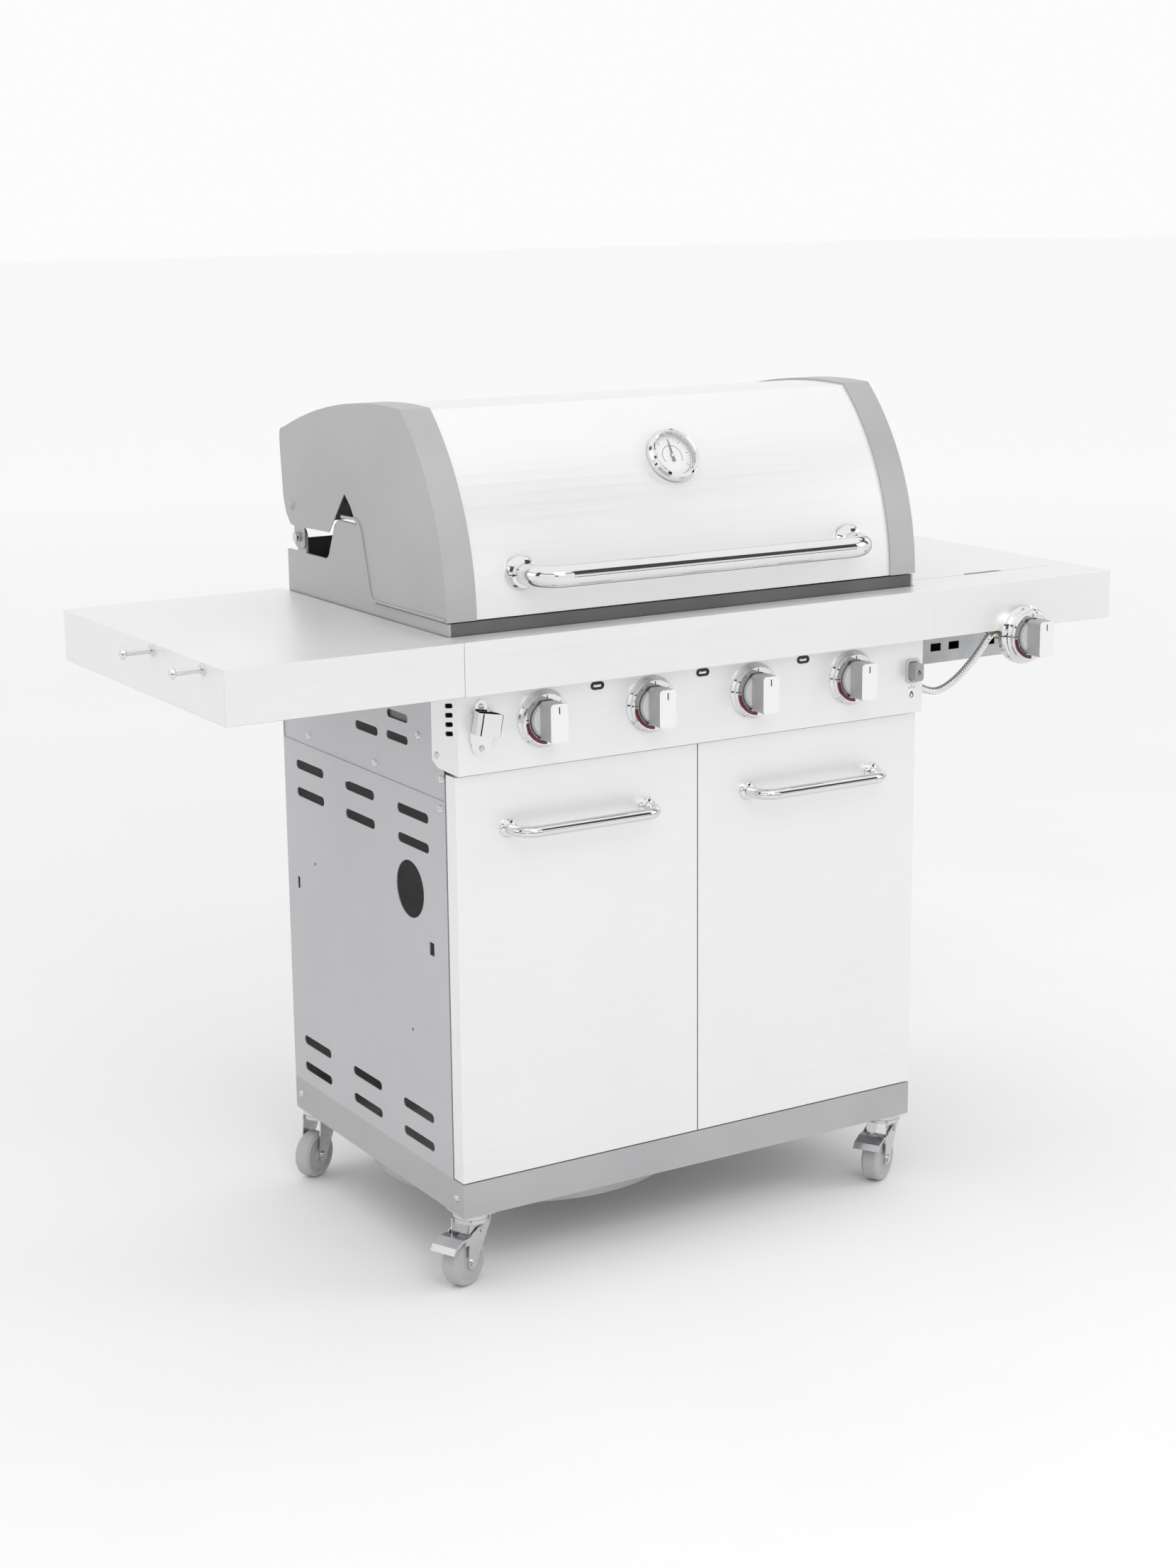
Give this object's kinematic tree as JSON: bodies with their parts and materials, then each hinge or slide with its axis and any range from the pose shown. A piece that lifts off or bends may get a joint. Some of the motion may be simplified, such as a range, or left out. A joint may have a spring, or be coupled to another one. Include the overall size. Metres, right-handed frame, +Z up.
{
  "type": "gas barbecue grill",
  "caption": "Gas barbecue grill on a two-door cart with a hinged lid, folded side shelves, turning control knobs, a covered side burner and swivel casters.",
  "frame": {"origin": "on the floor, at the middle of the grill's footprint box", "axes": "+X towards the side-burner shelf, +Y towards the back, +Z up; the doors face -Y"},
  "size_m": [1.5, 0.638, 1.209],
  "materials": {
    "stainless_sheet": "fine brushed stainless sheet",
    "cart_sheet": "satin silver-grey enamel",
    "rail_enamel": "satin grey enamel",
    "cap_casting": "satin silver-grey coated casting",
    "chrome": "polished chrome",
    "fasteners": "bright zinc plating",
    "knob_metal": "satin silver",
    "stem_steel": "turned steel",
    "valve_brass": "machined brass",
    "gas_pipe": "bare pipe",
    "hose_metal": "corrugated bright hose",
    "burner_steel": "plain steel tube",
    "firebox_enamel": "porcelain enamel, dark grey",
    "emitter_enamel": "porcelain enamel, dark",
    "grate_iron": "black porcelain-coated cast iron",
    "rack_wire": "plated wire",
    "tray_steel": "galvanised sheet",
    "caster_zinc": "bright zinc-plated pressings",
    "wheel_plastic": "grey moulded plastic",
    "button_plastic": "dark grey moulded plastic",
    "needle_paint": "matt black",
    "gauge_glass": "clear glass"
  },
  "bodies": {
    "cart": {"base_pan": "rail_enamel", "left_side_panel": "cart_sheet", "right_side_panel": "cart_sheet", "back_panel": "cart_sheet", "control_panel": "stainless_sheet", "left_shelf": "stainless_sheet", "right_shelf": "stainless_sheet", "tool_hooks": "chrome", "knob_bezels": "chrome", "igniter_module": "button_plastic", "bottle_opener": "chrome", "gas_manifold": "gas_pipe", "gas_valves": "valve_brass", "burners": "burner_steel", "emitters": "emitter_enamel", "grates": "grate_iron", "firebox": "firebox_enamel", "side_burner_box": "tray_steel", "side_burner_head": "grate_iron", "side_burner_trivet": "grate_iron", "side_burner_hose": "hose_metal", "caster_mounts": "caster_zinc", "hinge_pins": "fasteners", "screws": "fasteners"},
    "lid": {"lid_skin": "stainless_sheet", "lid_cap_left": "cap_casting", "lid_cap_right": "cap_casting", "lid_handle": "chrome", "gauge_housing": "chrome", "gauge_glass": "gauge_glass"},
    "needle": {"gauge_needle": "needle_paint"},
    "rack": {"warming_rack": "rack_wire"},
    "rack_leg_pair": {"rack_legs": "rack_wire"},
    "side_lid": {"side_burner_lid": "stainless_sheet"},
    "left_door": {"door_left": "stainless_sheet", "door_handle_left": "chrome"},
    "right_door": {"door_right": "stainless_sheet", "door_handle_right": "chrome"},
    "igniter": {"igniter_button": "button_plastic"},
    "tray": {"grease_tray": "tray_steel"},
    "stem_1": {"stem_1": "stem_steel"},
    "knob_1": {"knob_1": "knob_metal"},
    "stem_2": {"stem_2": "stem_steel"},
    "knob_2": {"knob_2": "knob_metal"},
    "stem_3": {"stem_3": "stem_steel"},
    "knob_3": {"knob_3": "knob_metal"},
    "stem_4": {"stem_4": "stem_steel"},
    "knob_4": {"knob_4": "knob_metal"},
    "side_stem": {"side_stem": "stem_steel"},
    "side_knob": {"side_knob": "knob_metal"},
    "fork_front_left": {"fork_front_left": "caster_zinc"},
    "wheel_front_left": {"wheel_front_left": "wheel_plastic"},
    "brake_front_left": {"brake_front_left": "caster_zinc"},
    "fork_front_right": {"fork_front_right": "caster_zinc"},
    "wheel_front_right": {"wheel_front_right": "wheel_plastic"},
    "brake_front_right": {"brake_front_right": "caster_zinc"},
    "fork_rear_left": {"fork_rear_left": "caster_zinc"},
    "wheel_rear_left": {"wheel_rear_left": "wheel_plastic"},
    "fork_rear_right": {"fork_rear_right": "caster_zinc"},
    "wheel_rear_right": {"wheel_rear_right": "wheel_plastic"}
  },
  "joints": [
    {"name": "lid_hinge", "type": "hinge", "parent": "cart", "child": "lid", "pos_m": [0.0225, 0.23201, 1.001], "axis": [-1, 0, 0], "range_deg": [0, 88]},
    {"name": "rack_on_lid", "type": "hinge", "parent": "lid", "child": "rack", "pos_m": [0.0225, 0.19701, 1.075], "axis": [-1, 0, 0], "range_deg": [-90, 0]},
    {"name": "rack_leg_foot", "type": "hinge", "parent": "cart", "child": "rack_leg_pair", "pos_m": [0.0225, 0.04701, 1], "axis": [-1, 0, 0], "range_deg": [0, 90]},
    {"name": "needle_turn", "type": "hinge", "parent": "lid", "child": "needle", "pos_m": [0.0225, -0.16094, 1.12783], "axis": [0, -0.8563, 0.5165], "range_deg": [-110, 110], "stiffness_Nm_per_rad": 0.0005},
    {"name": "side_lid_hinge", "type": "hinge", "parent": "cart", "child": "side_lid", "pos_m": [0.5765, 0.16601, 0.922], "axis": [-1, 0, 0], "range_deg": [0, 95]},
    {"name": "left_door_hinge", "type": "hinge", "parent": "cart", "child": "left_door", "pos_m": [-0.3555, -0.20999, 0.44], "axis": [0, 0, -1], "range_deg": [0, 110]},
    {"name": "right_door_hinge", "type": "hinge", "parent": "cart", "child": "right_door", "pos_m": [0.4005, -0.20999, 0.44], "axis": [0, 0, 1], "range_deg": [0, 110]},
    {"name": "igniter_push", "type": "slide", "parent": "cart", "child": "igniter", "axis": [0, 1, 0], "range_m": [0, 0.004], "stiffness_N_per_m": 400},
    {"name": "tray_slide", "type": "slide", "parent": "cart", "child": "tray", "axis": [0, 1, 0], "range_m": [0, 0.3]},
    {"name": "stem_1_push", "type": "slide", "parent": "cart", "child": "stem_1", "axis": [0, 1, 0], "range_m": [0, 0.003], "stiffness_N_per_m": 1000},
    {"name": "knob_1_turn", "type": "hinge", "parent": "stem_1", "child": "knob_1", "pos_m": [-0.2355, -0.23599, 0.798], "axis": [0, -1, 0], "range_deg": [0, 180]},
    {"name": "stem_2_push", "type": "slide", "parent": "cart", "child": "stem_2", "axis": [0, 1, 0], "range_m": [0, 0.003], "stiffness_N_per_m": 1000},
    {"name": "knob_2_turn", "type": "hinge", "parent": "stem_2", "child": "knob_2", "pos_m": [-0.0635, -0.23599, 0.798], "axis": [0, -1, 0], "range_deg": [0, 180]},
    {"name": "stem_3_push", "type": "slide", "parent": "cart", "child": "stem_3", "axis": [0, 1, 0], "range_m": [0, 0.003], "stiffness_N_per_m": 1000},
    {"name": "knob_3_turn", "type": "hinge", "parent": "stem_3", "child": "knob_3", "pos_m": [0.1085, -0.23599, 0.798], "axis": [0, -1, 0], "range_deg": [0, 180]},
    {"name": "stem_4_push", "type": "slide", "parent": "cart", "child": "stem_4", "axis": [0, 1, 0], "range_m": [0, 0.003], "stiffness_N_per_m": 1000},
    {"name": "knob_4_turn", "type": "hinge", "parent": "stem_4", "child": "knob_4", "pos_m": [0.2805, -0.23599, 0.798], "axis": [0, -1, 0], "range_deg": [0, 180]},
    {"name": "side_stem_push", "type": "slide", "parent": "cart", "child": "side_stem", "axis": [0, 1, 0], "range_m": [0, 0.003], "stiffness_N_per_m": 1000},
    {"name": "side_knob_turn", "type": "hinge", "parent": "side_stem", "child": "side_knob", "pos_m": [0.5765, -0.26099, 0.836], "axis": [0, -1, 0], "range_deg": [0, 180]},
    {"name": "swivel_front_left", "type": "hinge", "parent": "cart", "child": "fork_front_left", "pos_m": [-0.3385, -0.19499, 0.095], "axis": [0, 0, 1], "continuous": true},
    {"name": "roll_front_left", "type": "hinge", "parent": "fork_front_left", "child": "wheel_front_left", "pos_m": [-0.35677, -0.20312, 0.035], "axis": [-0.4067, 0.9135, 0], "continuous": true},
    {"name": "pedal_front_left", "type": "hinge", "parent": "fork_front_left", "child": "brake_front_left", "pos_m": [-0.34033, -0.1958, 0.078], "axis": [0.4067, -0.9135, 0], "range_deg": [0, 8]},
    {"name": "swivel_front_right", "type": "hinge", "parent": "cart", "child": "fork_front_right", "pos_m": [0.3835, -0.19499, 0.095], "axis": [0, 0, 1], "continuous": true},
    {"name": "roll_front_right", "type": "hinge", "parent": "fork_front_right", "child": "wheel_front_right", "pos_m": [0.36618, -0.20499, 0.035], "axis": [-0.5, 0.866, 0], "continuous": true},
    {"name": "pedal_front_right", "type": "hinge", "parent": "fork_front_right", "child": "brake_front_right", "pos_m": [0.38177, -0.19599, 0.078], "axis": [0.5, -0.866, 0], "range_deg": [0, 8]},
    {"name": "swivel_rear_left", "type": "hinge", "parent": "cart", "child": "fork_rear_left", "pos_m": [-0.3385, 0.28901, 0.095], "axis": [0, 0, 1], "continuous": true},
    {"name": "roll_rear_left", "type": "hinge", "parent": "fork_rear_left", "child": "wheel_rear_left", "pos_m": [-0.35582, 0.27901, 0.035], "axis": [-0.5, 0.866, 0], "continuous": true},
    {"name": "swivel_rear_right", "type": "hinge", "parent": "cart", "child": "fork_rear_right", "pos_m": [0.3835, 0.28901, 0.095], "axis": [0, 0, 1], "continuous": true},
    {"name": "roll_rear_right", "type": "hinge", "parent": "fork_rear_right", "child": "wheel_rear_right", "pos_m": [0.36568, 0.27993, 0.035], "axis": [-0.454, 0.891, 0], "continuous": true}
  ],
  "couplings": [
    {"joint": "rack_on_lid", "follows": "lid_hinge", "ratio": -1},
    {"joint": "rack_leg_foot", "follows": "lid_hinge", "ratio": 1}
  ]
}
